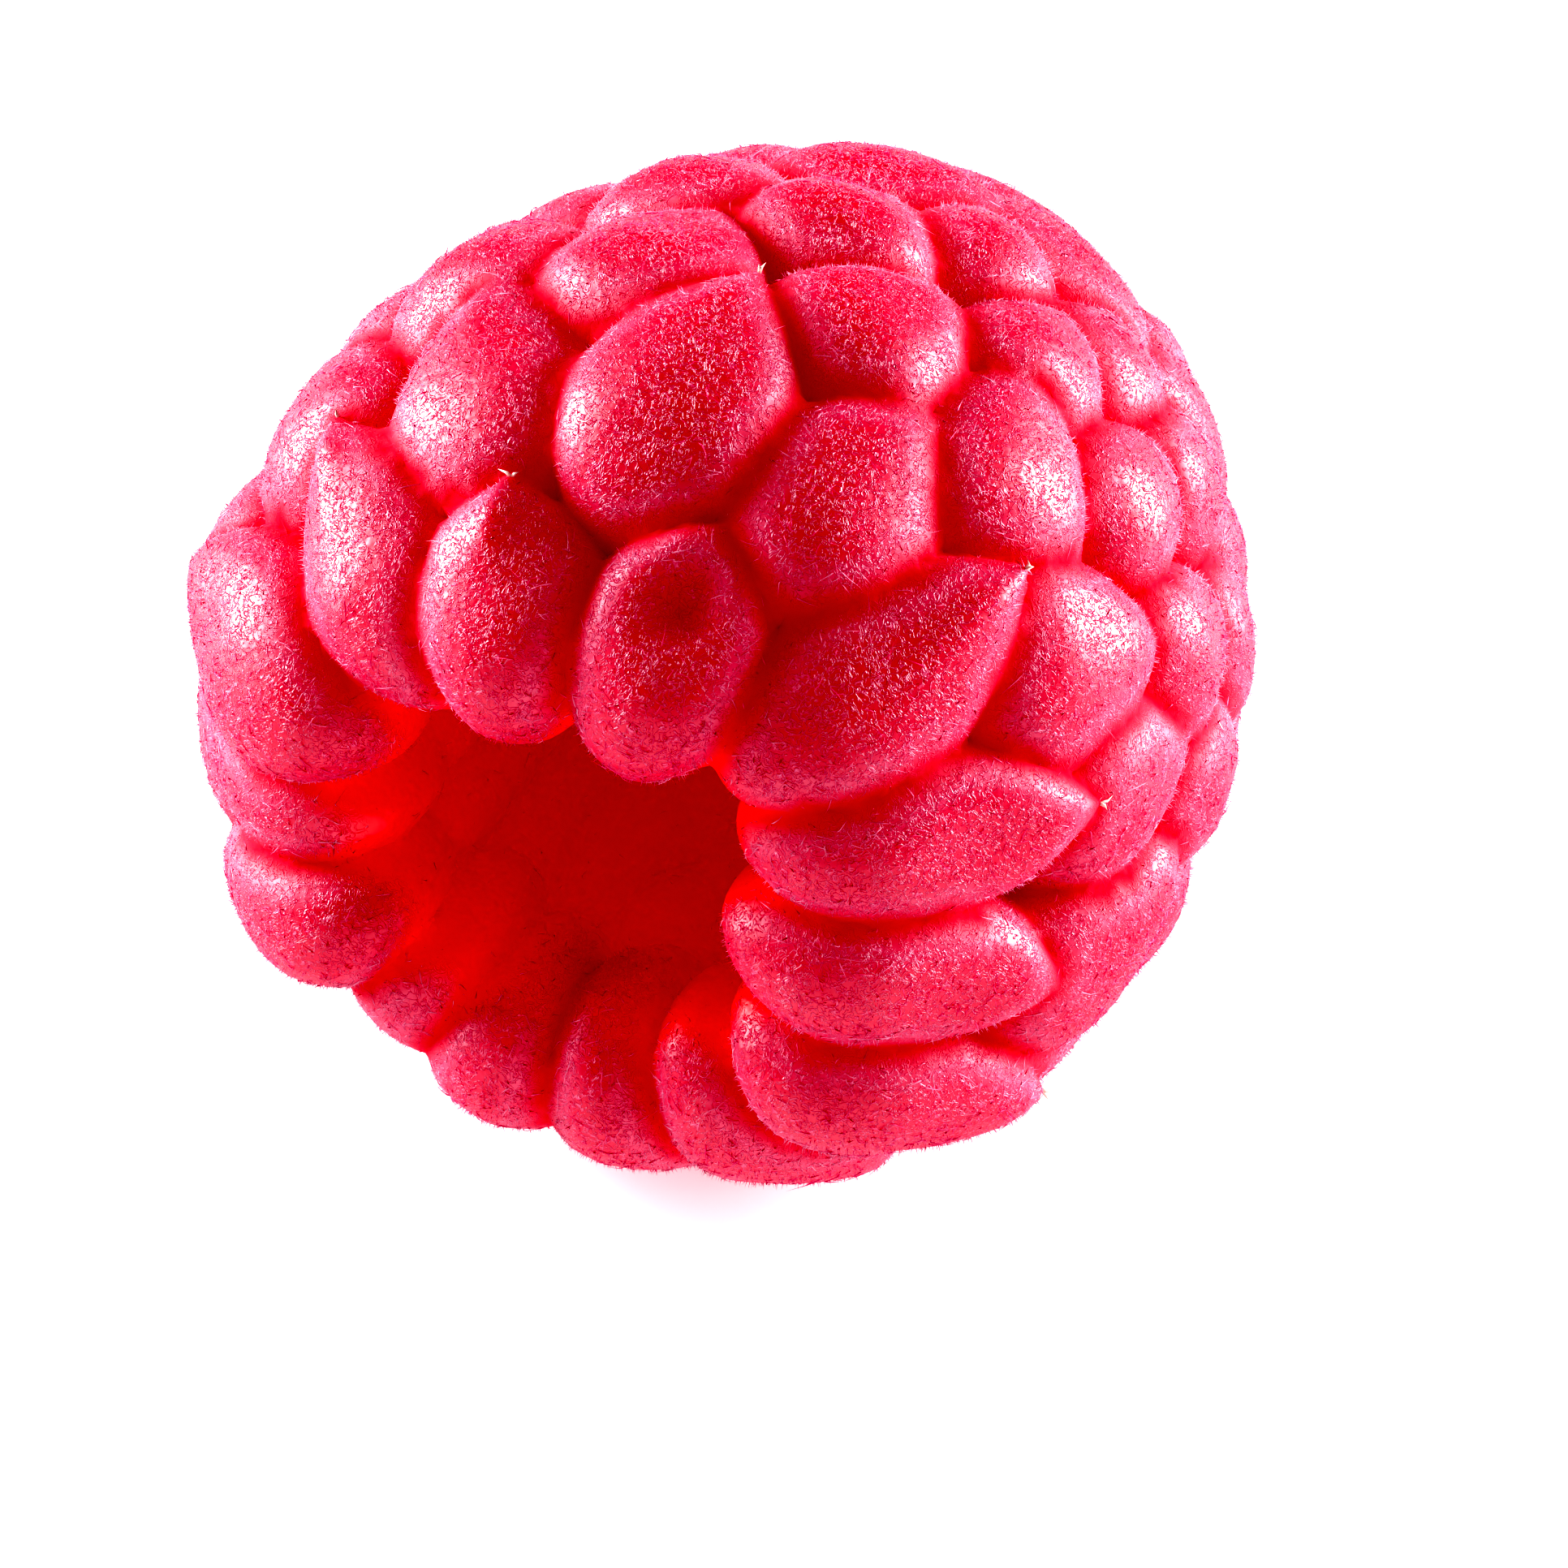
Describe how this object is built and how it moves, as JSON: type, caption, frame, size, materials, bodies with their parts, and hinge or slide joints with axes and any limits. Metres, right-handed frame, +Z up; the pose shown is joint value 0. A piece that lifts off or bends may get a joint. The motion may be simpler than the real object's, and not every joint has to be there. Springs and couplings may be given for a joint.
{
  "type": "raspberry",
  "caption": "Picked raspberry lying on its side, a hollow cup of fused plump beads with an open mouth at one end and a rounded nose at the other.",
  "frame": {"origin": "middle of the bounding box's underside, on the surface that the berry lies on", "axes": "+Z up; the long axis lies along Y, with the open mouth facing -Y and the rounded nose facing +Y; +X to the right as seen from the mouth side"},
  "size_m": [0.019, 0.0196, 0.0177],
  "materials": {
    "flesh": "juicy translucent crimson flesh with a soft sheen, deeper red in the creases and under a fine pale down"
  },
  "bodies": {
    "root": {"raspberry": "flesh"}
  },
  "joints": []
}
